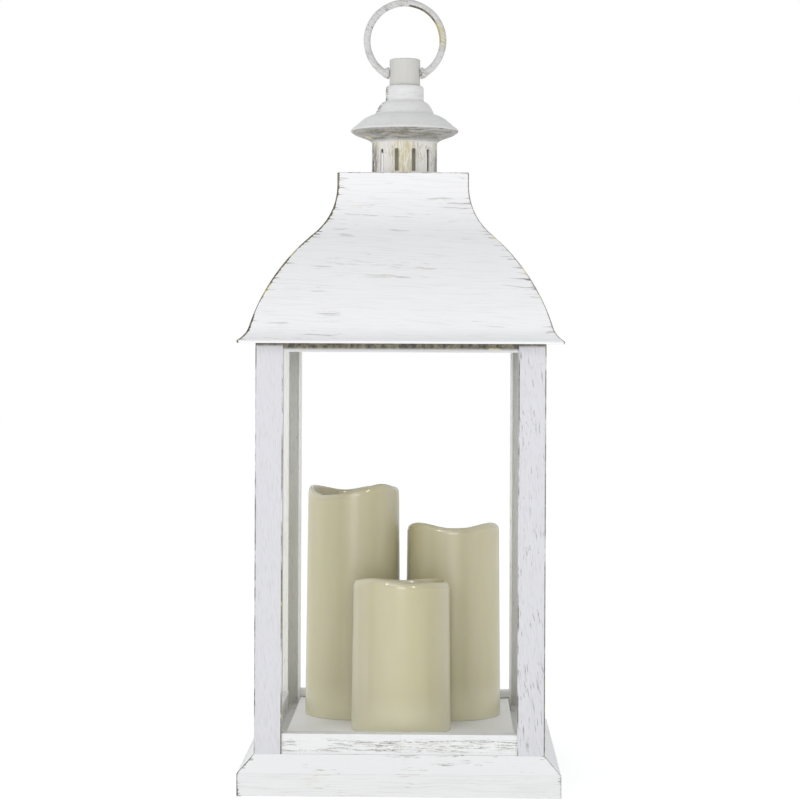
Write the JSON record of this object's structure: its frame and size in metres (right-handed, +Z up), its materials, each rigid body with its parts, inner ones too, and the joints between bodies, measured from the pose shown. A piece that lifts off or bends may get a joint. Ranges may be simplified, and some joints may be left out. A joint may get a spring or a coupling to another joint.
{
  "type": "flameless candle lantern",
  "caption": "Tall square open-sided lantern with an ogee roof, vent chimney and ring handle, holding LED pillar candles on a raised deck, run from a battery base.",
  "frame": {"origin": "centre of the footprint, on the surface the lantern stands on", "axes": "+Z up along the lantern's height, -Y towards the front, the ring's pivot along X"},
  "size_m": [0.2838, 0.2838, 0.7111],
  "materials": {
    "whitewash": "whitewash brushed thinly over a dark bronze base coat, satin",
    "whitewash_top": "whitewash over bronze base coat, more of the gold showing",
    "ring_paint": "white paint worn to gold along one side",
    "candle": "ivory, wax-like, softly glossy",
    "insert": "ivory, wax-like, matt",
    "led": "milky warm-white epoxy",
    "dark_plastic": "black moulded",
    "rubber": "soft foot pads",
    "steel": "zinc plated",
    "board": "solder mask",
    "cell": "plain two-colour wrap",
    "lead": "PVC insulation"
  },
  "bodies": {
    "lantern": {"plinth": "whitewash", "deck": "whitewash", "base_cover": "whitewash", "foot_pads": "rubber", "base_screws": "steel", "deck_screws": "steel", "battery_box": "dark_plastic", "cell_1": "cell", "cell_2": "cell", "cell_3": "cell", "contact_springs": "steel", "contact_plates": "steel", "timer_board": "board", "timer_chip": "dark_plastic", "battery_leads": "lead", "switch_leads": "lead", "led_leads": "lead", "switch_body": "dark_plastic", "post_front_left": "whitewash", "post_front_right": "whitewash", "post_back_right": "whitewash", "post_back_left": "whitewash", "bottom_rail_front": "whitewash", "bottom_rail_right": "whitewash", "bottom_rail_back": "whitewash", "bottom_rail_left": "whitewash", "top_rail_front": "whitewash", "top_rail_right": "whitewash", "top_rail_back": "whitewash", "top_rail_left": "whitewash", "post_screws": "steel", "roof_frame": "whitewash", "roof_shell": "whitewash", "roof_screws": "steel", "vent_chimney": "whitewash_top", "spacer_tube": "whitewash_top", "cap": "whitewash_top", "neck": "whitewash_top", "tie_rod": "steel", "tie_nut": "steel", "candle_tall": "candle", "candle_middle": "candle", "candle_short": "candle", "insert_tall": "insert", "insert_middle": "insert", "insert_short": "insert", "led_tall": "led", "led_middle": "led", "led_short": "led", "led_holder_tall": "dark_plastic", "led_holder_middle": "dark_plastic", "led_holder_short": "dark_plastic", "candle_screws": "steel"},
    "battery_door": {"battery_door": "whitewash"},
    "switch_knob": {"switch_knob": "dark_plastic"},
    "ring": {"ring_handle": "ring_paint"}
  },
  "joints": [
    {"name": "ring_fold", "type": "hinge", "parent": "lantern", "child": "ring", "pos_m": [0, 0, 0.6426], "axis": [1, 0, 0], "range_deg": [-133, 133]},
    {"name": "door_slide", "type": "slide", "parent": "lantern", "child": "battery_door", "axis": [0, 1, 0], "range_m": [0, 0.07]},
    {"name": "switch_slide", "type": "slide", "parent": "lantern", "child": "switch_knob", "axis": [0, 1, 0], "range_m": [-0.003, 0.003]}
  ]
}
